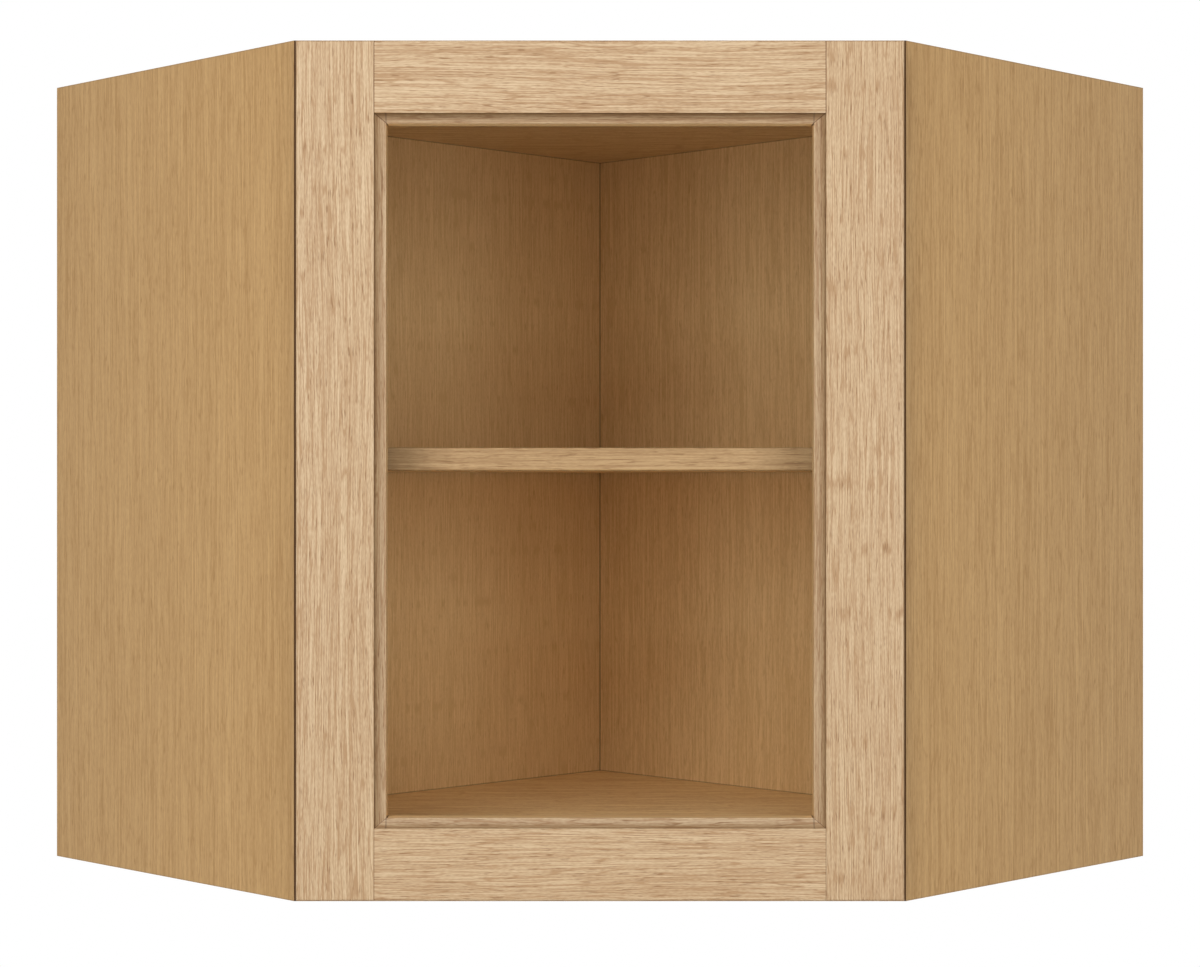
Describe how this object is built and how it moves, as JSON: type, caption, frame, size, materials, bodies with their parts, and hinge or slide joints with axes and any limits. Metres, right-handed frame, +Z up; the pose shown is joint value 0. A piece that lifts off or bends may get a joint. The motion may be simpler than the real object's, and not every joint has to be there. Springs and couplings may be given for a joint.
{
  "type": "corner wall cabinet",
  "caption": "Diagonal corner wall cabinet with an open frame door on concealed hinges and a loose adjustable shelf.",
  "frame": {"origin": "middle of the bounding box at the cabinet's lowest level", "axes": "+X to the right seen from the room, +Y back into the room corner, +Z up; the face is square to Y"},
  "size_m": [0.8622, 0.6676, 0.6096],
  "materials": {
    "door_oak": "clear satin oak, pinkish beige, open grain",
    "side_veneer": "satin oak veneer, ochre, fine straight grain",
    "interior_veneer": "satin oak veneer inside the box",
    "shelf_oak": "satin oak veneer and solid edge strip",
    "frame_oak": "satin oak",
    "raw_wood": "unfinished softwood",
    "hinge_steel": "nickel plated pressed steel",
    "screw_steel": "zinc plated steel",
    "bumper_rubber": "translucent soft rubber"
  },
  "bodies": {
    "cabinet": {"bottom_panel": "interior_veneer", "corner_blocks": "raw_wood", "face_frame_bottom_rail": "frame_oak", "face_frame_left_stile": "frame_oak", "face_frame_right_stile": "frame_oak", "face_frame_top_rail": "frame_oak", "hinge_arm_lower": "hinge_steel", "hinge_arm_screws": "screw_steel", "hinge_arm_upper": "hinge_steel", "left_back_panel": "interior_veneer", "left_lower_hanging_rail": "raw_wood", "left_side_panel": "side_veneer", "left_upper_hanging_rail": "raw_wood", "right_back_panel": "interior_veneer", "right_lower_hanging_rail": "raw_wood", "right_side_panel": "side_veneer", "right_upper_hanging_rail": "raw_wood", "shelf_pins": "screw_steel", "top_panel": "interior_veneer"},
    "door": {"door_bottom_rail": "door_oak", "door_bumpers": "bumper_rubber", "door_left_stile": "door_oak", "door_right_stile": "door_oak", "door_top_rail": "door_oak", "hinge_cup_screws": "screw_steel", "hinge_cups": "hinge_steel", "hinge_pin_lower": "screw_steel", "hinge_pin_upper": "screw_steel", "hinge_spring_lower": "hinge_steel", "hinge_spring_upper": "hinge_steel"},
    "shelf": {"shelf_board": "shelf_oak", "shelf_edge_strip": "shelf_oak"}
  },
  "joints": [
    {"name": "door_swing", "type": "hinge", "parent": "cabinet", "child": "door", "pos_m": [-0.2058, -0.32253, 0.3048], "axis": [0, 0, -1], "range_deg": [0, 105]},
    {"name": "shelf_lift", "type": "slide", "parent": "cabinet", "child": "shelf", "axis": [0, 0, 1], "range_m": [0, 0.1]}
  ]
}
